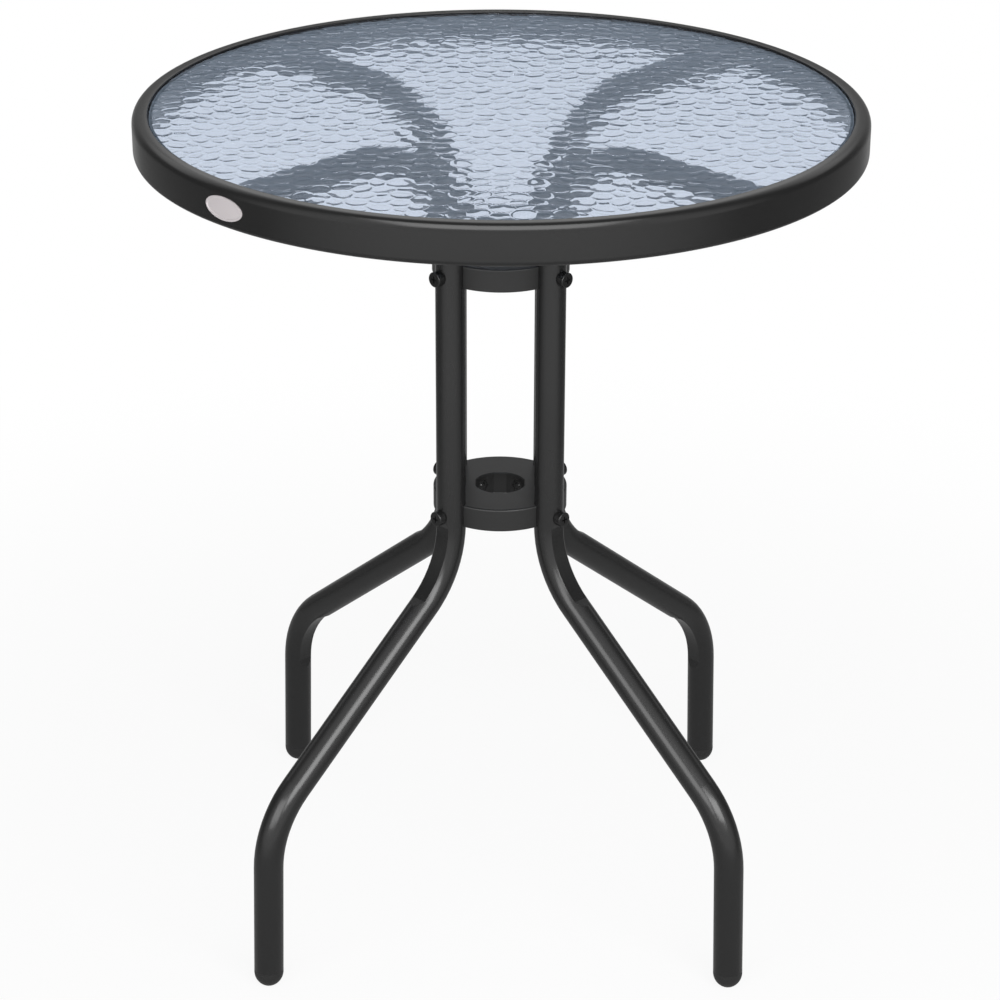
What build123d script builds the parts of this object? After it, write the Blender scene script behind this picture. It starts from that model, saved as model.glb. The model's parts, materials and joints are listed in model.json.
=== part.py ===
from build123d import *
from math import cos, isclose, radians, sin, tan
import os

# A round garden table: a glass pane let into a rolled steel rim, on four bent tube legs.
# Millimetres and degrees. The floor is z = 0, the middle of the table is the z axis,
# and the legs stand at 45 degrees to x and y.

os.makedirs("parts", exist_ok=True)

# Overall size
table_height = 720.0
table_diameter = 600.0

# Rim: a ring rolled from one sheet, with a ledge for the glass and an open seam below
rim_height = 33.0
lip_width = 13.0
ledge_width = 4.0
rim_sheet = 1.2
seam_gap = 3.0
skirt_top_round = 7.0
skirt_bottom_round = 5.0
inner_bottom_round = 4.0
lip_edge_round = 1.0

# Glass pane and the strip that it lies on
glass_thickness = 5.0
glass_recess = 1.5
glass_clearance = 0.6
glass_edge_round = 1.5
strip_thickness = 0.8
strip_width = 2.8

# Legs: foot, diagonal, stem and arm are one bent tube
leg_azimuths = {"front_left": -135, "front_right": -45, "rear_right": 45, "rear_left": 135}
tube_diameter = 25.0
tube_wall = 1.3
stem_radius = 58.7
hip_corner_height = 321.0
foot_corner_height = 152.5
foot_radius = 277.5
foot_splay = 2.0
leg_bend_radius = 85.0
arm_bend_radius = 95.0
arm_glass_gap = 1.0
arm_end_gap = 0.5
press_depth = 2.2
press_run_out = 8.0

# Foot plugs, pushed into the feet
plug_drop = 15.0
plug_collar = 2.5
plug_flat_diameter = 8.0
plug_insert = 20.0
plug_fit = 0.2
plug_wall = 2.5
plug_ridges = 3
plug_ridge_height = 0.8

# Hubs: two like mouldings, cored from below
lower_hub_bottom = 362.0
upper_hub_drop = 7.5
hub_radius = 57.5
hub_height = 20.0
hub_bore = 42.8
hub_wall = 3.0
hub_plate = 3.5
hub_rib = 2.5
hub_top_round = 1.6
hub_bottom_round = 1.0
bore_edge_bevel = 0.8
bore_sleeve_gap = 1.0
bore_pad_width = 11.0
bore_pad_height = 0.8
saddle_clearance = 0.15

# Hub bolts and their nuts
bolt_diameter = 6.0
bolt_head_diameter = 13.0
bolt_head_height = 6.2
bolt_head_round = 1.0
bolt_cross_length = 6.0
bolt_cross_width = 1.4
bolt_cross_depth = 1.6
bolt_tip_bevel = 0.8
bolt_tip_reach = 0.6
bolt_hole_clearance = 0.5
nut_width = 10.0
nut_height = 5.0
nut_clearance = 0.15
thread_clearance = 0.1

# Spigots welded inside the rim, and the screws that hold the arms on them
spigot_length = 45.0
spigot_wall = 1.5
spigot_fit = 0.3
weld_gap = 0.1
screw_inset = 20.0
screw_diameter = 5.0
screw_head_diameter = 9.0
screw_head_height = 3.0
screw_head_round = 1.2
screw_reach = 3.0

# Places that follow from the sizes above
rim_radius = table_diameter / 2
lip_radius = rim_radius - lip_width
inner_wall_radius = lip_radius - ledge_width
rim_bottom = table_height - rim_height
glass_top_height = table_height - glass_recess
glass_bottom = glass_top_height - glass_thickness
ledge_height = glass_bottom - strip_thickness
tube_radius = tube_diameter / 2
tube_bore_radius = tube_radius - tube_wall
arm_height = glass_bottom - arm_glass_gap - tube_radius
arm_end = inner_wall_radius - arm_end_gap
arm_bend_start = arm_height - arm_bend_radius
upper_hub_bottom = arm_bend_start - upper_hub_drop - hub_height
saddle_radius = tube_radius + saddle_clearance
head_seat = stem_radius + tube_radius
bore_radius = hub_bore / 2
nut_seat = bore_radius + nut_height
bolt_hole = bolt_diameter + bolt_hole_clearance
hub_bottoms = {"lower": lower_hub_bottom, "upper": upper_hub_bottom}
spigot_radius = tube_bore_radius - spigot_fit
screw_radius = arm_end - screw_inset
screw_seat = arm_height - tube_radius
screw_hole = screw_diameter + 2 * thread_clearance


def outward(azimuth):
    """Unit vector that points from the middle of the table along one leg."""
    return Vector(cos(radians(azimuth)), sin(radians(azimuth)), 0)


def leg_plane(azimuth):
    """Upright plane of one leg: local x runs outwards and local y runs up."""
    return Plane(origin=(0, 0, 0), x_dir=outward(azimuth), z_dir=outward(azimuth - 90))


def radial_plane(azimuth, radius, height):
    """Plane square to a leg's outward line, with local y up."""
    return Plane(
        origin=outward(azimuth) * radius + Vector(0, 0, height),
        x_dir=outward(azimuth + 90),
        z_dir=outward(azimuth),
    )


def finish(builder, name):
    """Label a finished piece and write it."""
    builder.part.label = name
    export_step(builder.part, f"parts/{name}.step")


# Glass pane, with its rim ground round
with BuildPart() as glass_top:
    with BuildSketch(Plane.XY.offset(glass_bottom)):
        Circle(lip_radius - glass_clearance)
    extrude(amount=glass_thickness)
    fillet(glass_top.edges().filter_by(GeomType.CIRCLE), radius=glass_edge_round)
finish(glass_top, "glass_top")

# Soft strip between the glass and the ledge
with BuildPart() as glazing_strip:
    with BuildSketch(Plane.XY.offset(ledge_height)):
        Circle(lip_radius - glass_clearance)
        Circle(lip_radius - glass_clearance - strip_width, mode=Mode.SUBTRACT)
    extrude(amount=strip_thickness)
finish(glazing_strip, "glazing_strip")

# Rim: lip, ledge, inner wall and skirt of one bent sheet, turned round the table
with BuildPart() as rim:
    with BuildSketch(Plane.XZ):
        with BuildLine():
            FilletPolyline(
                (inner_wall_radius, rim_bottom),
                (rim_radius, rim_bottom),
                (rim_radius, table_height),
                (lip_radius, table_height),
                (lip_radius, ledge_height),
                (inner_wall_radius, ledge_height),
                radius=[
                    inner_bottom_round,
                    skirt_bottom_round,
                    skirt_top_round,
                    lip_edge_round,
                    0,
                    lip_edge_round,
                ],
                close=True,
            )
        make_face()
        offset(amount=-rim_sheet, kind=Kind.INTERSECTION, mode=Mode.SUBTRACT)
        with Locations(((inner_wall_radius + rim_radius) / 2, rim_bottom + rim_sheet / 2)):
            Rectangle(seam_gap, 2 * rim_sheet, mode=Mode.SUBTRACT)
    revolve(axis=Axis.Z)
finish(rim, "rim")

# The leg's middle line, from the cut end of the foot up to the end of the arm
foot_lean = Vector(-tan(radians(foot_splay)), 1)
foot_axis = foot_lean.normalized()
foot_end = Vector(foot_radius, 0) + foot_axis * plug_drop
leg_points = [
    foot_end,
    Vector(foot_radius, 0) + foot_lean * foot_corner_height,
    Vector(stem_radius, hip_corner_height),
    Vector(stem_radius, arm_height),
    Vector(arm_end, arm_height),
]
bend_radii = [leg_bend_radius, leg_bend_radius, arm_bend_radius]


def bent_rod(radius):
    """Solid rod of the given radius along the leg's middle line."""
    with BuildPart() as rod:
        with BuildLine() as axis:
            FilletPolyline(*[Vector(point.X, 0, point.Y) for point in leg_points], radius=bend_radii)
        with BuildSketch(Plane(origin=axis.line @ 0, z_dir=axis.line % 0)):
            Circle(radius)
        sweep()
    return rod.part


def press_marks(rod_radius):
    """The bending tool for a rod: it presses the inside of each bend flat and runs out at both ends."""
    with BuildPart() as tool:
        with BuildSketch(Plane.XZ):
            for before, corner, after, radius in zip(leg_points, leg_points[1:], leg_points[2:], bend_radii):
                back = (before - corner).normalized()
                ahead = (after - corner).normalized()
                inwards = (back + ahead).normalized()
                half_angle = radians(back.get_angle(ahead) / 2)
                centre = corner + inwards * (radius / sin(half_angle))
                to_start = (corner + back * (radius / tan(half_angle)) - centre).normalized()
                to_end = (corner + ahead * (radius / tan(half_angle)) - centre).normalized()
                inside = radius - rod_radius
                pressed = inside + press_depth
                with BuildLine():
                    ThreePointArc(
                        centre + to_start * pressed,
                        centre - inwards * pressed,
                        centre + to_end * pressed,
                    )
                    Polyline(
                        centre + to_end * pressed,
                        centre + to_end * inside + ahead * press_run_out,
                        centre,
                        centre + to_start * inside + back * press_run_out,
                        centre + to_start * pressed,
                    )
                make_face()
        extrude(amount=tube_diameter, both=True)
    return tool.part


# One leg along x: a hollow tube with pressed bends, drilled for the hub bolts and the arm screw
outer_rod = bent_rod(tube_radius)
inner_rod = bent_rod(tube_bore_radius)
outer_press = press_marks(tube_radius)
inner_press = press_marks(tube_bore_radius)
with BuildPart() as leg_hollow:
    add(inner_rod)
    add(inner_press, mode=Mode.SUBTRACT)
with BuildPart() as leg_pattern:
    add(outer_rod)
    add(outer_press, mode=Mode.SUBTRACT)
    add(leg_hollow.part, mode=Mode.SUBTRACT)
    for hub_bottom in hub_bottoms.values():
        with BuildSketch(radial_plane(0, stem_radius, hub_bottom + hub_height / 2)):
            Circle(bolt_hole / 2)
        extrude(amount=tube_diameter, both=True, mode=Mode.SUBTRACT)
    with BuildSketch(Plane(origin=(screw_radius, 0, arm_height), z_dir=(0, 0, -1))):
        Circle(screw_hole / 2)
    extrude(amount=tube_diameter, mode=Mode.SUBTRACT)

# One foot plug along x: a ridged insert, a collar as wide as the tube and a dome cut flat at the floor
insert_radius = tube_bore_radius - plug_fit
core_radius = insert_radius - plug_ridge_height
ridge_pitch = plug_insert / plug_ridges
insert_edge = []
for ridge in range(plug_ridges):
    insert_edge.append((core_radius, plug_insert - ridge * ridge_pitch))
    insert_edge.append((insert_radius, plug_insert - (ridge + 0.5) * ridge_pitch))
    insert_edge.append((insert_radius, plug_insert - (ridge + 1) * ridge_pitch))
dome_start = (tube_radius, -plug_collar)
dome_end = (plug_flat_diameter / 2, -plug_drop - plug_flat_diameter * tan(radians(foot_splay)))
plug_plane = Plane(
    origin=(foot_end.X, 0, foot_end.Y),
    x_dir=(foot_axis.Y, 0, -foot_axis.X),
    z_dir=(0, -1, 0),
)
with BuildPart() as plug_pattern:
    with BuildSketch(plug_plane):
        with BuildLine():
            Polyline(
                (0, dome_end[1]),
                (0, 0),
                (core_radius - plug_wall, 0),
                (core_radius - plug_wall, plug_insert),
                *insert_edge,
                (tube_radius, 0),
                dome_start,
            )
            TangentArc(dome_start, dome_end, tangent=(0, -1))
            Line(dome_end, (0, dome_end[1]))
        make_face()
    revolve(axis=Axis(plug_plane.origin, plug_plane.y_dir))
    split(bisect_by=Plane.XY, keep=Keep.TOP)

# One spigot along x: a short tube welded to the rim's inner wall, inside the end of the arm
with BuildPart() as spigot_pattern:
    with BuildSketch(radial_plane(0, arm_end - spigot_length, arm_height)):
        Circle(spigot_radius)
        Circle(spigot_radius - spigot_wall, mode=Mode.SUBTRACT)
    extrude(amount=spigot_length + arm_end_gap)
    with BuildSketch(Plane.XY.offset(arm_height - tube_radius)):
        Circle(inner_wall_radius - weld_gap)
    extrude(amount=tube_diameter, mode=Mode.INTERSECT)
    with BuildSketch(Plane(origin=(screw_radius, 0, arm_height), z_dir=(0, 0, -1))):
        Circle(screw_hole / 2)
    extrude(amount=tube_diameter, mode=Mode.SUBTRACT)

# The four legs with their plugs and spigots, turned to their places
patterns = {"leg": leg_pattern, "foot_plug": plug_pattern, "rim_spigot": spigot_pattern}
for place, azimuth in leg_azimuths.items():
    for piece, pattern in patterns.items():
        with BuildPart() as turned:
            add(pattern.part, rotation=(0, 0, azimuth))
        finish(turned, f"{piece}_{place}")

# Hubs: a round moulding with four upright saddles, open bore and cored underside
for level, hub_bottom in hub_bottoms.items():
    bolt_height = hub_bottom + hub_height / 2
    with BuildPart() as hub:
        with BuildSketch(Plane.XY.offset(hub_bottom)):
            Circle(hub_radius)
            Circle(bore_radius, mode=Mode.SUBTRACT)
            with PolarLocations(bore_radius, 4):
                Rectangle(2 * bore_pad_height, bore_pad_width)
            with PolarLocations(stem_radius, 4, start_angle=45):
                Circle(saddle_radius, mode=Mode.SUBTRACT)
        extrude(amount=hub_height)
        round_edges = hub.edges().filter_by(GeomType.CIRCLE)
        outer_arcs = round_edges.filter_by(lambda edge: isclose(edge.radius, hub_radius))
        fillet(outer_arcs.group_by(Axis.Z)[-1], radius=hub_top_round)
        fillet(outer_arcs.group_by(Axis.Z)[0], radius=hub_bottom_round)
        bore_edge = hub.faces().sort_by(Axis.Z)[-1].inner_wires()[0].edges()
        chamfer(bore_edge, length=bore_edge_bevel)
        with BuildSketch(Plane.XY.offset(hub_bottom)):
            Circle(hub_radius - hub_wall)
            Circle(bore_radius + hub_wall, mode=Mode.SUBTRACT)
            with PolarLocations(stem_radius, 4, start_angle=45):
                Circle(saddle_radius + hub_wall, mode=Mode.SUBTRACT)
            with PolarLocations(stem_radius / 2, 4, start_angle=45):
                Rectangle(stem_radius, nut_width + 2 * hub_wall, mode=Mode.SUBTRACT)
            with PolarLocations(hub_radius / 2, 4):
                Rectangle(hub_radius, hub_rib, mode=Mode.SUBTRACT)
        extrude(amount=hub_height - hub_plate, mode=Mode.SUBTRACT)
        with BuildSketch(Plane.XY.offset(hub_bottom)):
            Circle(bore_radius + hub_wall)
        extrude(amount=bore_sleeve_gap, mode=Mode.SUBTRACT)
        for azimuth in leg_azimuths.values():
            with BuildSketch(radial_plane(azimuth, 0, bolt_height)):
                Circle(bolt_hole / 2)
            extrude(amount=stem_radius, mode=Mode.SUBTRACT)
            with BuildSketch(radial_plane(azimuth, 0, bolt_height)):
                RegularPolygon(nut_width / 2 + nut_clearance, 6, major_radius=False)
            extrude(amount=nut_seat, mode=Mode.SUBTRACT)
    finish(hub, f"{level}_hub")

# Hub bolts: round cross-slot heads on the stems, shanks through stem and hub into the nuts
for level, hub_bottom in hub_bottoms.items():
    bolt_height = hub_bottom + hub_height / 2
    bolt_tip = bore_radius - bolt_tip_reach
    shank_radius = bolt_diameter / 2
    head_radius = bolt_head_diameter / 2
    head_top = head_seat + bolt_head_height
    with BuildPart() as bolts:
        for azimuth in leg_azimuths.values():
            with BuildSketch(leg_plane(azimuth)):
                with BuildLine():
                    FilletPolyline(
                        (bolt_tip, bolt_height),
                        (bolt_tip, bolt_height + shank_radius - bolt_tip_bevel),
                        (bolt_tip + bolt_tip_bevel, bolt_height + shank_radius),
                        (head_seat, bolt_height + shank_radius),
                        (head_seat, bolt_height + head_radius),
                        (head_top, bolt_height + head_radius),
                        (head_top, bolt_height),
                        radius=[0, 0, 0, 0, 0, bolt_head_round, 0],
                        close=True,
                    )
                make_face()
            revolve(axis=Axis((0, 0, bolt_height), outward(azimuth)))
            with BuildSketch(radial_plane(azimuth, head_top, bolt_height)):
                Rectangle(bolt_cross_length, bolt_cross_width)
                Rectangle(bolt_cross_width, bolt_cross_length)
            extrude(amount=-bolt_cross_depth, mode=Mode.SUBTRACT)
    finish(bolts, f"{level}_hub_bolts")

# Hub nuts, held in their pockets beside the bore
for level, hub_bottom in hub_bottoms.items():
    with BuildPart() as nuts:
        for azimuth in leg_azimuths.values():
            with BuildSketch(radial_plane(azimuth, nut_seat, hub_bottom + hub_height / 2)):
                RegularPolygon(nut_width / 2, 6, major_radius=False)
                Circle(bolt_diameter / 2 + thread_clearance, mode=Mode.SUBTRACT)
            extrude(amount=-nut_height)
    finish(nuts, f"{level}_hub_nuts")

# Arm screws, driven from below through the arm into the spigot
with BuildPart() as arm_screws:
    shank_radius = screw_diameter / 2
    head_radius = screw_head_diameter / 2
    screw_top = screw_seat + tube_wall + spigot_fit + spigot_wall + screw_reach
    for azimuth in leg_azimuths.values():
        screw_axis = Axis(outward(azimuth) * screw_radius, (0, 0, 1))
        with BuildSketch(leg_plane(azimuth)):
            with BuildLine():
                FilletPolyline(
                    (screw_radius, screw_top),
                    (screw_radius + shank_radius, screw_top),
                    (screw_radius + shank_radius, screw_seat),
                    (screw_radius + head_radius, screw_seat),
                    (screw_radius + head_radius, screw_seat - screw_head_height),
                    (screw_radius, screw_seat - screw_head_height),
                    radius=[0, 0, 0, 0, screw_head_round, 0],
                    close=True,
                )
            make_face()
        revolve(axis=screw_axis)
finish(arm_screws, "arm_screws")
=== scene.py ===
# %% [markdown]
# # A round garden table with a rippled glass top
#
# The table is a pane of rippled glass in a rolled steel rim, on four bent tube legs that two
# moulded hubs hold together. The frame that is loaded here has every metal and plastic piece at its
# real size. What is left to make is the look: the studio, the finishes, the pebbled face of the
# glass, the smooth curve of the rim and the bare oval plate on it.

# %% Load the frame
import json
import math

import bpy
import numpy as np
from mathutils import Matrix, Vector


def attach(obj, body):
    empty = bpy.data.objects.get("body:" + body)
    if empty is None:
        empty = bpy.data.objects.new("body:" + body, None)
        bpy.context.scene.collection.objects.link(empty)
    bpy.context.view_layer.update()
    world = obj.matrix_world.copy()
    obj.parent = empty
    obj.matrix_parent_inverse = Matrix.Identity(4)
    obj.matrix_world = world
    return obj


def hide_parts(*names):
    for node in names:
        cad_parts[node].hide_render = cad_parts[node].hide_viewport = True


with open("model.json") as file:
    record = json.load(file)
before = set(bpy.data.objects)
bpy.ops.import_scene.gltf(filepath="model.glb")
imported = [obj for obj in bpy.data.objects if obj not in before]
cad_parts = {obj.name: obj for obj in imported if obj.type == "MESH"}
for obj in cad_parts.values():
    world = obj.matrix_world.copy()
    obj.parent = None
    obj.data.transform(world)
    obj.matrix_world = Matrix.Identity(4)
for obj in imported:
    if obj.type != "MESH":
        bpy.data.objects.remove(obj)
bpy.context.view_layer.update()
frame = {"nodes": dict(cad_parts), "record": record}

# %% [markdown]
# ## The camera
#
# The photograph looks down on the table from a person's eye height, through a long lens, so that
# the legs hardly lean. The place and lens were found by fitting the rim's two ellipses, the stems
# and the feet. A camera could also be aimed by eye, but then the ellipses never quite agree.

# %% Camera
eye_place = (0.0, -2.3114, 1.4188)
eye_down = math.radians(24.5)
eye_roll = 0.0036
lens_millimetres = 105.7
sensor_millimetres = 36.0

camera_data = bpy.data.cameras.new("eye")
camera_data.lens = lens_millimetres
camera_data.sensor_width = sensor_millimetres
camera = bpy.data.objects.new("eye", camera_data)
camera.location = eye_place
look_down = Matrix.Rotation(math.pi / 2 - eye_down, 3, "X")
lean = Matrix.Rotation(eye_roll, 3, "Z")
camera.rotation_euler = (look_down @ lean).to_euler()
bpy.context.scene.collection.objects.link(camera)
bpy.context.scene.camera = camera
bpy.context.scene.view_settings.view_transform = "Standard"
print("camera at", eye_place, "with a", lens_millimetres, "mm lens")

# %% [markdown]
# ## Shader sums
#
# A finish is a small network of nodes. Written out node by node it is long and hard to follow, so
# one small class wraps an output and lets Python's own operators add the Math nodes.

# %% Wires
class Wire:
    """One output of a node. Sums and products of wires add Math nodes to the same tree."""

    def __init__(self, tree, socket=None):
        self.tree = tree
        self.socket = socket

    def node(self, kind, settings={}, sockets={}, output=0):
        """Add a node: its settings come first, then the values or wires of its sockets."""
        made = self.tree.nodes.new(kind)
        for name, value in settings.items():
            setattr(made, name, value)
        for name, value in sockets.items():
            if isinstance(value, Wire):
                self.tree.links.new(value.socket, made.inputs[name])
            else:
                made.inputs[name].default_value = value
        return Wire(self.tree, made.outputs[output] if made.outputs else None)

    def ray(self, kind):
        """1 for rays of a kind, such as Camera, and 0 for the others."""
        return self.node("ShaderNodeLightPath", output=f"Is {kind} Ray")

    def math(self, operation, first, second=0.0):
        """A Math node on one or two values or wires."""
        return self.node("ShaderNodeMath", {"operation": operation}, {0: first, 1: second})

    def __add__(self, other):
        return self.math("ADD", self, other)

    def __sub__(self, other):
        return self.math("SUBTRACT", self, other)

    def __rsub__(self, other):
        return self.math("SUBTRACT", other, self)

    def __mul__(self, other):
        return self.math("MULTIPLY", self, other)

    def __or__(self, other):
        return self.math("MAXIMUM", self, other)

    __radd__ = __add__
    __rmul__ = __mul__

    def fade(self, start, end, before, after):
        """A value that runs from one level to another as this wire runs from start to end."""
        return self.node("ShaderNodeMapRange", {"interpolation_type": "SMOOTHSTEP"}, {
            "Value": self,
            "From Min": start,
            "From Max": end,
            "To Min": before,
            "To Max": after,
        })


def start_finish(name):
    """A new material with an empty network, and the wire that adds its nodes."""
    material = bpy.data.materials.new(name)
    material.use_nodes = True
    material.node_tree.nodes.clear()
    return material, Wire(material.node_tree)


def grey(level):
    """A grey as the four numbers of a colour socket."""
    return (level, level, level, 1.0)


print("a wire's own tools:", [name for name in vars(Wire) if not name.startswith("__")])

# %% [markdown]
# ## Studio
#
# The photograph shows the table on plain white. A pale floor that runs out into a white world gives
# that from every side. Light that a steep pebble turns back upwards inside the glass meets a grey
# ceiling, which draws the thin dark lines of the pattern. In the satin gloss of the coats the world is
# white in front, pale high up behind and dim elsewhere. The sharp mirror of the glass shows an even
# cool grey low down, or each pebble would glitter, and bright slats high up, which let someone who
# looks down on the pane see its pebbles too. As a light the world is dimmer than white, so that the
# finishes come out about as they are written.
#
# Each pair of numbers says where a change starts and where it ends. A height is the sine of the angle
# above the floor, and a depth runs from -1 straight in front to 1 straight behind.

# %% White world with a grey ceiling
world_light = 0.35
ceiling_grey = 0.52
ceiling_start = (0.0, 0.12)
front_grey = 0.9
front_end = (-0.5, 0.1)
room_grey = 0.12
back_grey = 0.25
back_start = (0.7, 0.92)
wall_grey = 0.9
wall_start = (0.2, 0.6)
wall_bottom = (math.sin(math.radians(20.0)), math.sin(math.radians(26.0)))
wall_top = (math.sin(math.radians(35.0)), math.sin(math.radians(70.0)))
glass_mirror = (0.33, 0.42, 0.53, 1.0)
slat_gain = 7.0
slat_spacing = math.radians(8.0)
slat_start = (math.sin(math.radians(40.0)), math.sin(math.radians(48.0)))

world = bpy.data.worlds.new("white_studio")
world.use_nodes = True
world.node_tree.nodes.clear()
sky = Wire(world.node_tree)
camera_ray = sky.ray("Camera")
glass_ray = sky.ray("Transmission")
mirror_ray = sky.ray("Glossy") - glass_ray
sharp_mirror = mirror_ray * sky.ray("Singular")
satin_mirror = mirror_ray - sharp_mirror
direction = sky.node("ShaderNodeTexCoord", output="Generated")
height = sky.node("ShaderNodeSeparateXYZ", {}, {"Vector": direction}, output="Z")
behind = sky.node("ShaderNodeSeparateXYZ", {}, {"Vector": direction}, output="Y")
ceiling = height.fade(*ceiling_start, 1.0, ceiling_grey)
wall_band = height.fade(*wall_bottom, 0.0, wall_grey) * height.fade(*wall_top, 1.0, 0.0)
wall = wall_band * behind.fade(*wall_start, 0.0, 1.0)
lift = sky.math("ARCSINE", height)
slats = 0.5 + 0.5 * sky.math("SINE", lift * (2 * math.pi / slat_spacing))
slatted = 1 + slats * height.fade(*slat_start, 0.0, slat_gain)
front_room = behind.fade(*front_end, front_grey, room_grey)
back_room = behind.fade(*back_start, room_grey, back_grey)
room = front_room | back_room
cast = sky.node("ShaderNodeMix", {"data_type": "RGBA"}, {
    "Factor": sharp_mirror,
    "A": grey(1.0),
    "B": glass_mirror,
}, output=2)
shown = sky.node("ShaderNodeBackground", {}, {
    "Color": cast,
    "Strength": camera_ray | glass_ray * ceiling | sharp_mirror * slatted | satin_mirror * (room | wall),
})
light = sky.node("ShaderNodeBackground", {}, {"Color": grey(1.0), "Strength": world_light})
seen = camera_ray | mirror_ray | glass_ray
both = sky.node("ShaderNodeMixShader", {}, {0: seen, 1: light, 2: shown})
sky.node("ShaderNodeOutputWorld", {}, {"Surface": both})
bpy.context.scene.world = world
print("the world lights at", world_light, "and its ceiling shows at", ceiling_grey)

# %% [markdown]
# The floor is white to the eye all over, with a faint shadow under the feet. In the gloss of the
# tubes it is grey in the table's shade, and farther out it is white only in front. Beside and behind
# the table it is dim, which gives each stem one soft bright band and two dark flanks, but far out at
# the sides it is paler again, so that the ends of the skirt don't turn black. Paint lit by more lamps
# would give the same white, but it would wash out the black finish too.

# %% Floor
floor_radius = 9.0
floor_sides = 96
floor_paint = 0.9
shadow_share = 0.1
shadow_reach = (0.3, 1.3)
shade_reach = (0.3, 2.0)
shade_grey = 0.34
floor_front_end = (-1.0, 0.0)
floor_back_start = (0.59, 0.95)
floor_back_grey = 0.42
floor_side_grey = 0.22
side_reach = (1.35, 1.6)

bpy.ops.object.select_all(action="DESELECT")
bpy.ops.mesh.primitive_circle_add(vertices=floor_sides, radius=floor_radius, fill_type="NGON")
floor = bpy.context.object
floor.name = "floor"
floor_finish, bench = start_finish("white_floor")
camera_ray = bench.ray("Camera")
mirror_ray = bench.ray("Glossy")
glass_ray = bench.ray("Transmission")
place = bench.node("ShaderNodeTexCoord", output="Object")
reach = bench.node("ShaderNodeVectorMath", {"operation": "LENGTH"}, {0: place}, output="Value")
outwards = bench.node("ShaderNodeVectorMath", {"operation": "NORMALIZE"}, {0: place})
behind = bench.node("ShaderNodeSeparateXYZ", {}, {"Vector": outwards}, output="Y")
lit_front = behind.fade(*floor_front_end, 1.0, 0.0)
lit_back = behind.fade(*floor_back_start, 0.0, floor_back_grey)
lit = lit_front | lit_back | reach.fade(*side_reach, 0.0, floor_side_grey)
shade = reach.fade(*shade_reach, 1.0, 0.0)
floor_gloss = shade * shade_grey + (1 - shade) * lit
paint = bench.node("ShaderNodeBsdfDiffuse", {}, {"Color": grey(floor_paint)})
glow = bench.node("ShaderNodeEmission", {}, {
    "Color": grey(1.0),
    "Strength": camera_ray | glass_ray | mirror_ray * floor_gloss,
})
shadow = reach.fade(*shadow_reach, shadow_share, 0.0)
white_share = (camera_ray | mirror_ray | glass_ray) * (1 - shadow)
floor_mix = bench.node("ShaderNodeMixShader", {}, {0: white_share, 1: paint, 2: glow})
bench.node("ShaderNodeOutputMaterial", {}, {"Surface": floor_mix})
floor.data.materials.append(floor_finish)
print("floor radius", floor_radius, "m, in the table's shade as far out as", shade_reach[1], "m")

# %% [markdown]
# A small white card stands behind the table, above the top, and only the satin gloss of the coats
# shows it. From the front of the lip it is in view. The sides and the back of the lip look under it.

# %% Card behind the table
card_place = (0.0, 0.6, 1.14)
card_size = (0.72, 0.42)

bpy.ops.object.select_all(action="DESELECT")
bpy.ops.mesh.primitive_plane_add(size=1.0, location=card_place, rotation=(math.pi / 2, 0.0, 0.0))
card = bpy.context.object
card.name = "white_card"
card.scale = (*card_size, 1.0)
bpy.ops.object.transform_apply(location=True, rotation=True, scale=True)
card_finish, bench = start_finish("white_card")
satin_mirror = (bench.ray("Glossy") - bench.ray("Transmission")) * (1 - bench.ray("Singular"))
unseen = bench.node("ShaderNodeBsdfTransparent")
white = bench.node("ShaderNodeEmission", {}, {"Color": grey(1.0), "Strength": 1.0})
card_mix = bench.node("ShaderNodeMixShader", {}, {0: satin_mirror, 1: unseen, 2: white})
bench.node("ShaderNodeOutputMaterial", {}, {"Surface": card_mix})
card.data.materials.append(card_finish)
print("card", card_size, "at", card_place)

# %% [markdown]
# Two low softboxes stand beside the camera, the right one brighter. They draw the bright band along
# each diagonal. A third one hangs high in front and draws the highlight on the rim's rounding.

# %% Lamps
table_middle = (0.0, 0.0, 0.35)
softboxes = {
    "right_softbox": {"place": (0.79, -1.76, 1.37), "size": (1.6, 0.95), "watts": 30.0},
    "left_softbox": {"place": (-0.95, -1.79, 1.16), "size": (1.7, 0.95), "watts": 18.0},
    "rim_softbox": {"place": (0.0, -1.27, 2.47), "size": (2.1, 1.9), "watts": 42.0},
}

for name, setup in softboxes.items():
    lamp = bpy.data.lights.new(name, "AREA")
    lamp.shape = "RECTANGLE"
    lamp.size, lamp.size_y = setup["size"]
    lamp.energy = setup["watts"]
    softbox = bpy.data.objects.new(name, lamp)
    softbox.location = setup["place"]
    aim = Vector(table_middle) - Vector(setup["place"])
    softbox.rotation_euler = aim.to_track_quat("-Z", "Y").to_euler()
    bpy.context.scene.collection.objects.link(softbox)
    print(name, setup["watts"], "W")

# %% [markdown]
# ## Hands for modelling
#
# New pieces start from a primitive and are shaped in edit mode. Five small functions do what a hand
# does between the operators: open a piece, see where its corners are, pick some of them, apply a
# modifier, and close the piece.

# %% Hands
def start_piece(name):
    """Name the object that was just added, and open it with everything selected."""
    piece = bpy.context.object
    piece.name = name
    piece.data.name = name
    bpy.ops.object.mode_set(mode="EDIT")
    bpy.ops.mesh.select_mode(type="VERT")
    bpy.ops.mesh.select_all(action="SELECT")
    return piece


def corners_of(piece):
    """The places of a piece's vertices, one row each."""
    places = np.empty(3 * len(piece.data.vertices))
    piece.data.vertices.foreach_get("co", places)
    return places.reshape(-1, 3)


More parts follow.
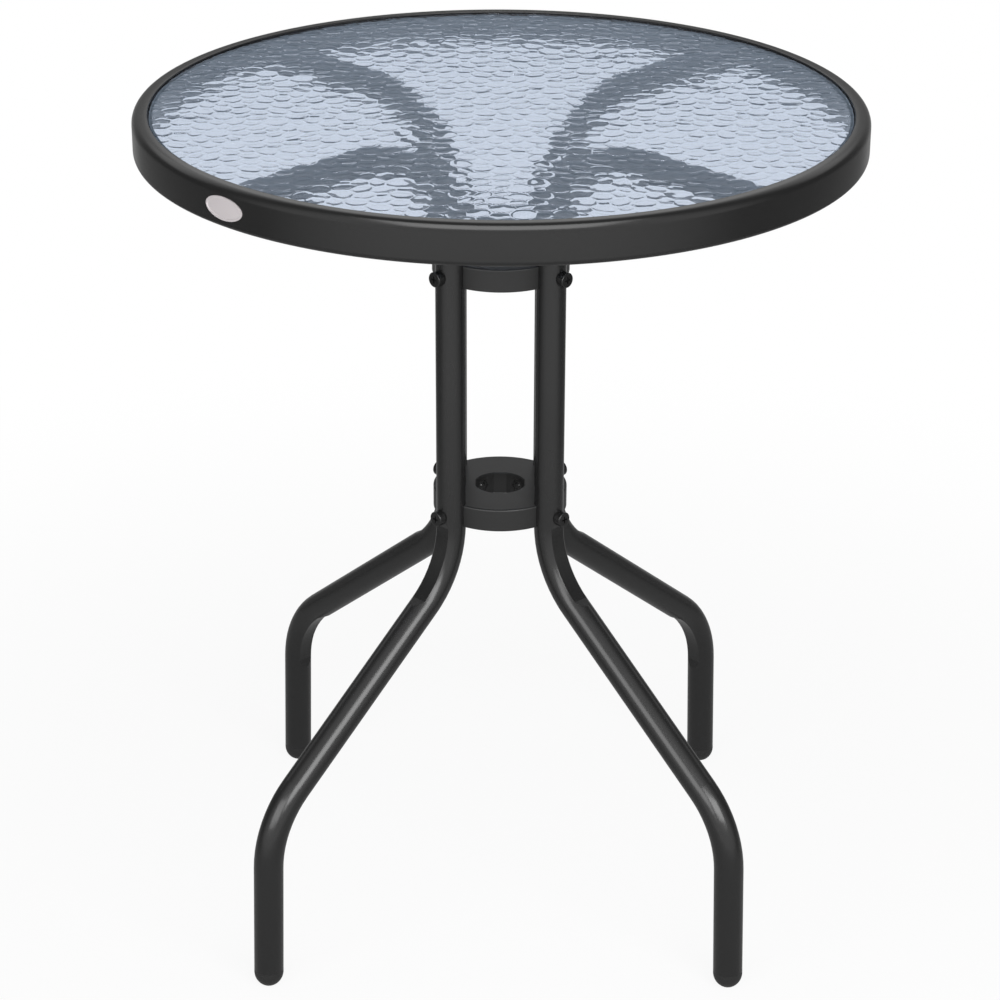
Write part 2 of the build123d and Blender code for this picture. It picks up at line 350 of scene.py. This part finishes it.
def pick(piece, rule):
    """Select just the vertices that a rule on their places chooses. Edges and faces between follow."""
    bpy.ops.mesh.select_mode(type="VERT")
    bpy.ops.mesh.select_all(action="DESELECT")
    bpy.ops.object.mode_set(mode="OBJECT")
    piece.data.vertices.foreach_set("select", rule(corners_of(piece)))
    bpy.ops.object.mode_set(mode="EDIT")
    bpy.ops.mesh.select_mode(type="VERT")


def shape_by(piece, kind, **settings):
    """Add a modifier, set it and apply it."""
    bpy.ops.object.mode_set(mode="OBJECT")
    modifier = piece.modifiers.new(kind.lower(), kind)
    for name, value in settings.items():
        setattr(modifier, name, value)
    bpy.ops.object.modifier_apply(modifier=modifier.name)
    bpy.ops.object.mode_set(mode="EDIT")


def close_piece(piece, smooth_angle):
    """Turn the faces outwards, shade them smooth up to an angle and leave the piece."""
    bpy.ops.mesh.select_all(action="SELECT")
    bpy.ops.mesh.normals_make_consistent(inside=False)
    bpy.ops.object.mode_set(mode="OBJECT")
    bpy.ops.object.shade_smooth_by_angle(angle=math.radians(smooth_angle))
    triangles = sum(len(face.vertices) - 2 for face in piece.data.polygons)
    box = corners_of(piece)
    print(piece.name, triangles, "triangles,", box.min(axis=0).round(4), "to", box.max(axis=0).round(4))


# %% [markdown]
# ## Rim
#
# On the table the rim is one strip of sheet steel, rolled to a section with a wide rounded lip, a
# ledge for the glass and an open seam below, and then bent into a ring. A lathe makes the same
# shape: the section is drawn once as a row of corners, each corner is bevelled to its radius, and the
# row is spun round the table's middle. The CAD ring has this section too, but its mesh is coarse in
# the small roundings, and the long highlights of the rim show that.

# %% Rolled rim
rim_sheet = 0.0012
rim_steps = 240
round_steps = 8
same_place = 1e-5
rim_section = [
    {"radius": 0.2930, "height": 0.6870, "round": 0.0},
    {"radius": 0.3000, "height": 0.6870, "round": 0.005},
    {"radius": 0.3000, "height": 0.7200, "round": 0.007},
    {"radius": 0.2870, "height": 0.7200, "round": 0.001},
    {"radius": 0.2870, "height": 0.7127, "round": 0.0},
    {"radius": 0.2830, "height": 0.7127, "round": 0.001},
    {"radius": 0.2830, "height": 0.6870, "round": 0.004},
    {"radius": 0.2900, "height": 0.6870, "round": 0.0},
]

bpy.ops.object.select_all(action="DESELECT")
bpy.ops.mesh.primitive_circle_add(vertices=len(rim_section))
rim = start_piece("rolled_rim")
bpy.ops.object.mode_set(mode="OBJECT")
for vertex, corner in zip(rim.data.vertices, rim_section):
    vertex.co = (corner["radius"], 0.0, corner["height"])
bpy.ops.object.mode_set(mode="EDIT")
seam = [rim_section[0]["radius"], rim_section[-1]["radius"]]
bottom = rim_section[0]["height"]
pick(rim, lambda at: np.isin(at[:, 0].round(5), seam) & np.isclose(at[:, 2], bottom))
bpy.ops.mesh.delete(type="EDGE")
for corner in rim_section:
    if corner["round"] > 0:
        spot = (corner["radius"], 0.0, corner["height"])
        pick(rim, lambda at: np.linalg.norm(at - spot, axis=1) < same_place)
        bpy.ops.mesh.bevel(offset=corner["round"], segments=round_steps, affect="VERTICES")
bpy.ops.mesh.select_all(action="SELECT")
bpy.ops.mesh.spin(steps=rim_steps, angle=2 * math.pi, center=(0.0, 0.0, 0.0), axis=(0.0, 0.0, 1.0))
bpy.ops.mesh.select_all(action="SELECT")
bpy.ops.mesh.remove_doubles(threshold=same_place)
bpy.ops.mesh.normals_make_consistent(inside=False)
shape_by(rim, "SOLIDIFY", thickness=rim_sheet, offset=-1.0, use_even_offset=True)
close_piece(rim, smooth_angle=40.0)
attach(rim, "root")
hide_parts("rim")

# %% [markdown]
# ## Glass pane
#
# Obscured glass is rolled while it is hot, between a smooth roller and one that is cut with a
# pebble pattern, and round panes are cut from the cooled sheet. So the pane is made as it is in the
# works: a wider sheet gets its pebbles, and then the round pane is cut out of it. A bump map could
# shade the pebbles, but only real slopes bend the light enough to break up what lies below.
#
# The pebbles' net starts as a grid whose corners are scattered. Its triangles are turned into their
# dual, so that each scattered corner becomes one pebble with five, six or seven sides.

# %% Net of pebbles
pane_radius = 0.2864
pane_top = 0.7185
pane_bottom = 0.7135
pebble_width = 0.0150
pebble_scatter = 0.42
scatter_evenness = 0.5
net_count = 46
net_margin = 2.6

bpy.ops.object.select_all(action="DESELECT")
bpy.ops.mesh.primitive_grid_add(
    x_subdivisions=net_count,
    y_subdivisions=net_count,
    size=net_count * pebble_width,
)
pane = start_piece("rippled_pane")
scatter = pebble_scatter * pebble_width
bpy.ops.transform.vertex_random(offset=scatter, uniform=scatter_evenness, seed=7)
bpy.ops.transform.resize(value=(1.0, 1.0, 0.0), center_override=(0.0, 0.0, 0.0))
net_radius = pane_radius + net_margin * pebble_width
pick(pane, lambda at: np.hypot(at[:, 0], at[:, 1]) > net_radius)
bpy.ops.mesh.delete(type="VERT")
bpy.ops.mesh.select_all(action="SELECT")
bpy.ops.mesh.quads_convert_to_tris(quad_method="BEAUTY", ngon_method="BEAUTY")
bpy.ops.mesh.beautify_fill(angle_limit=math.pi)

dual_tree = bpy.data.node_groups.new("dual_net", "GeometryNodeTree")
dual_tree.interface.new_socket("Mesh", in_out="INPUT", socket_type="NodeSocketGeometry")
dual_tree.interface.new_socket("Mesh", in_out="OUTPUT", socket_type="NodeSocketGeometry")
dual_bench = Wire(dual_tree)
net = dual_bench.node("NodeGroupInput")
dual_net = dual_bench.node("GeometryNodeDualMesh", {}, {"Mesh": net}, output="Dual Mesh")
dual_bench.node("NodeGroupOutput", {}, {0: dual_net})
shape_by(pane, "NODES", node_group=dual_tree)
bpy.ops.mesh.select_all(action="SELECT")
bpy.ops.mesh.delete_loose()
bpy.ops.mesh.select_all(action="SELECT")
bpy.ops.mesh.normals_make_consistent(inside=False)
bpy.ops.object.mode_set(mode="OBJECT")
if pane.data.polygons[0].normal.z < 0:
    pane.data.flip_normals()
print("pebbles in the sheet:", len(pane.data.polygons))

# %% [markdown]
# Each pebble is a low dome with a sharp valley round it. Two insets lift it, the first one steeply
# and the second one gently. The valleys keep a crease, and one step of subdivision rounds the rest.

# %% Domes
valley_unrest = 0.0002
steep_ring = {"thickness": 0.0007, "depth": 0.00018}
gentle_ring = {"thickness": 0.0026, "depth": 0.00010}
valley_crease = 0.9
round_levels = 1

bpy.ops.object.mode_set(mode="EDIT")
bpy.ops.mesh.select_all(action="SELECT")
bpy.ops.transform.vertex_random(offset=valley_unrest, normal=1.0, seed=11)
bpy.ops.transform.edge_crease(value=valley_crease)
bpy.ops.mesh.inset(use_individual=True, **steep_ring)
bpy.ops.transform.edge_crease(value=-1.0)
bpy.ops.mesh.inset(use_individual=True, **gentle_ring)
shape_by(pane, "SUBSURF", levels=round_levels, render_levels=round_levels)
bpy.ops.object.mode_set(mode="OBJECT")
crown = corners_of(pane)[:, 2].max()
bpy.ops.object.mode_set(mode="EDIT")
bpy.ops.mesh.select_all(action="SELECT")
bpy.ops.transform.translate(value=(0.0, 0.0, pane_top - crown))
print("the highest pebble stood", round(1000 * crown, 2), "mm above the net")

# %% [markdown]
# The sheet gets a flat underside. A round disc with ground edges, as wide as the pane, then cuts it:
# what both have in common is the pane.

# %% Cut pane
cut_spare = 0.001
edge_grind = 0.0012
edge_sides = 256
edge_angle = math.radians(60.0)
grind_steps = 2

bpy.ops.mesh.select_all(action="DESELECT")
bpy.ops.mesh.select_non_manifold()
bpy.ops.mesh.extrude_edges_indiv()
bpy.ops.transform.resize(value=(1.0, 1.0, 0.0), center_override=(0.0, 0.0, pane_bottom - cut_spare))
bpy.ops.mesh.edge_face_add()
bpy.ops.mesh.select_all(action="SELECT")
bpy.ops.mesh.normals_make_consistent(inside=False)
bpy.ops.object.mode_set(mode="OBJECT")

bpy.ops.object.select_all(action="DESELECT")
disc_height = pane_top - pane_bottom
bpy.ops.mesh.primitive_cylinder_add(vertices=edge_sides, radius=pane_radius, depth=disc_height)
disc = start_piece("cutting_disc")
bpy.ops.transform.translate(value=(0.0, 0.0, pane_bottom + disc_height / 2))
bpy.ops.mesh.select_mode(type="EDGE")
bpy.ops.mesh.select_all(action="DESELECT")
bpy.ops.mesh.edges_select_sharp(sharpness=edge_angle)
bpy.ops.mesh.bevel(offset=edge_grind, segments=grind_steps)
bpy.ops.object.mode_set(mode="OBJECT")
bpy.ops.object.select_all(action="DESELECT")
pane.select_set(True)
bpy.context.view_layer.objects.active = pane
shape_by(pane, "BOOLEAN", operation="INTERSECT", object=disc, solver="MANIFOLD")
bpy.data.objects.remove(disc)
close_piece(pane, smooth_angle=20.0)
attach(pane, "root")
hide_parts("glass_top")

# %% [markdown]
# The pane and the flat of the lip would show the two low softboxes to anyone who stands behind the
# table, as white patches. A photographer hangs a black flag between such a lamp and the piece. Light
# linking does the same: the low softboxes leave out the pane and the rim, and the high one lights the
# rim alone.

# %% Flags for the lamps
flagged = bpy.data.collections.new("flagged_pieces")
for piece in (pane, rim):
    flagged.objects.link(piece)
for member in flagged.collection_objects:
    member.light_linking.link_state = "EXCLUDE"
rim_alone = bpy.data.collections.new("rim_alone")
rim_alone.objects.link(rim)
receivers = {"right_softbox": flagged, "left_softbox": flagged, "rim_softbox": rim_alone}
for name, collection in receivers.items():
    bpy.data.objects[name].light_linking.receiver_collection = collection
print("lamps and their receivers:", {name: collection.name for name, collection in receivers.items()})

# %% [markdown]
# ## Oval plate
#
# A small pale plate sits on the skirt, left of the front. Such plates are pressed from thin sheet,
# with a raised border, and bent to the rim. Here a flat oval gets its border by two insets and an even
# net of faces inside it, because a single face can't bend. It is stood up and bent to the skirt's
# curve, its edge runs back to the skirt, and the plate is turned to its place. It stays bare.

# %% Oval plate
plate_width = 0.0405
plate_height = 0.0185
plate_level = 0.7035
plate_turn = math.radians(-43.95)
plate_thickness = 0.0009
plate_border = 0.0013
plate_step = 0.0004
plate_points = 64
skirt_radius = 0.3000

bpy.ops.object.select_all(action="DESELECT")
bpy.ops.mesh.primitive_circle_add(vertices=plate_points, radius=0.5, fill_type="NGON")
plate = start_piece("oval_plate")
bpy.ops.transform.resize(value=(plate_width, plate_height, 1.0), center_override=(0.0, 0.0, 0.0))
bpy.ops.mesh.inset(thickness=plate_border)
bpy.ops.mesh.inset(thickness=plate_step, depth=-plate_step)
bpy.ops.mesh.delete(type="ONLY_FACE")
pick(plate, lambda at: at[:, 2] < -plate_step / 2)
bpy.ops.mesh.fill_grid(span=plate_points // 4)
bpy.ops.object.mode_set(mode="OBJECT")
plate.data.transform(Matrix.Rotation(math.pi / 2, 4, "X"))
bpy.ops.object.mode_set(mode="EDIT")
shape_by(plate, "SIMPLE_DEFORM", deform_method="BEND", deform_axis="Z", angle=plate_width / skirt_radius)
bpy.ops.mesh.select_all(action="DESELECT")
bpy.ops.mesh.select_non_manifold()
bpy.ops.mesh.extrude_edges_indiv()
bpy.ops.transform.translate(value=(0.0, plate_thickness, 0.0))
bpy.ops.mesh.edge_face_add()
bpy.ops.object.mode_set(mode="OBJECT")
bend = corners_of(plate)[:, 1]
print("the plate bends back by", round(1000 * (bend.max() - bend.min()), 2), "mm with its edge")
plate.data.transform(Matrix.Translation((0.0, -skirt_radius - plate_thickness, plate_level)))
plate.data.transform(Matrix.Rotation(plate_turn, 4, "Z"))
bpy.ops.object.mode_set(mode="EDIT")
close_piece(plate, smooth_angle=30.0)
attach(plate, "root")

# %% [markdown]
# ## Finishes
#
# Powder coat is dry paint that is sprayed on by static and then melted to a skin. It has a satin
# gloss and a faint orange peel. The moulded hubs and plugs have a fine grain from their mould. All of
# them are one dark coat with its own colour, gloss and grain: a slow cloud of noise varies the colour
# a little, and a fine one gives the peel. Flat black would lose the shape of the tubes.

# %% Dark coats
cloud_scale = 14.0
cloud_spread = 0.1
gloss_spread = 0.06


def coat(name, level, roughness, peel_scale, peel_depth):
    """A dark coat: a grey level, a roughness, and the scale and depth of its peel."""
    material, bench = start_finish(name)
    place = bench.node("ShaderNodeTexCoord", output="Object")
    peel = bench.node("ShaderNodeTexNoise", {}, {"Vector": place, "Scale": peel_scale, "Detail": 2.0})
    cloud = bench.node("ShaderNodeTexNoise", {}, {"Vector": place, "Scale": cloud_scale, "Detail": 3.0})
    colour = bench.node("ShaderNodeMix", {"data_type": "RGBA"}, {
        "Factor": cloud,
        "A": grey((1 - cloud_spread) * level),
        "B": grey((1 + cloud_spread) * level),
    }, output=2)
    surface = bench.node("ShaderNodeBsdfPrincipled", {}, {
        "Base Color": colour,
        "Roughness": roughness + gloss_spread * (peel - 0.5),
        "Normal": bench.node("ShaderNodeBump", {}, {"Distance": peel_depth, "Height": peel}),
    })
    bench.node("ShaderNodeOutputMaterial", {}, {"Surface": surface})
    return material


dark_coats = {
    "powder_coat": {"level": 0.014, "roughness": 0.22, "peel_scale": 700.0, "peel_depth": 0.000006},
    "hub_plastic": {"level": 0.012, "roughness": 0.42, "peel_scale": 1200.0, "peel_depth": 0.00001},
    "plug_plastic": {"level": 0.015, "roughness": 0.45, "peel_scale": 1200.0, "peel_depth": 0.00003},
    "black_steel": {"level": 0.009, "roughness": 0.26, "peel_scale": 500.0, "peel_depth": 0.00001},
    "soft_strip": {"level": 0.010, "roughness": 0.60, "peel_scale": 900.0, "peel_depth": 0.00003},
}
finishes = {name: coat(name, **look) for name, look in dark_coats.items()}
print("coats:", sorted(finishes))

# %% [markdown]
# The glass is clear with a cool cast. The cast is set as the glass colour, because light through a
# thin pane hardly depends on the path. Its transmission stays a little below 1, and the rest is the
# faint haze of a pane that isn't quite clean. The plate is pale bare metal with a soft sheen.

# %% Glass and plate
glass_cast = (0.78, 0.85, 0.98, 1.0)
plate_colour = (0.60, 0.56, 0.57, 1.0)
plate_roughness = 0.4
plate_grain = 0.1

glass, bench = start_finish("ripple_glass")
glass_surface = bench.node("ShaderNodeBsdfPrincipled", {}, {
    "Base Color": glass_cast,
    "Roughness": 0.0,
    "IOR": 1.5,
    "Transmission Weight": 0.92,
})
bench.node("ShaderNodeOutputMaterial", {}, {"Surface": glass_surface})
finishes["ripple_glass"] = glass

plate_metal, bench = start_finish("plate_metal")
place = bench.node("ShaderNodeTexCoord", output="Object")
grain = bench.node("ShaderNodeTexNoise", {}, {"Vector": place, "Scale": 400.0, "Detail": 3.0})
plate_surface = bench.node("ShaderNodeBsdfPrincipled", {}, {
    "Base Color": plate_colour,
    "Metallic": 0.2,
    "Roughness": plate_roughness + plate_grain * (grain - 0.5),
})
bench.node("ShaderNodeOutputMaterial", {}, {"Surface": plate_surface})
print("glass and plate have their finishes")

# %% [markdown]
# Every node gets the finish of its slot in the record, and the new pieces get theirs directly.

# %% Dress the pieces
dressed = {subpart["node"]: subpart["material_slot"] for subpart in frame["record"]["subparts"]}
for node_name, slot_name in dressed.items():
    node = frame["nodes"][node_name]
    node.data.materials.clear()
    node.data.materials.append(finishes[slot_name])
new_pieces = ((rim, finishes["powder_coat"]), (pane, glass), (plate, plate_metal))
for piece, finish in new_pieces:
    piece.data.materials.clear()
    piece.data.materials.append(finish)
print("dressed", len(dressed), "nodes and", len(new_pieces), "new pieces")
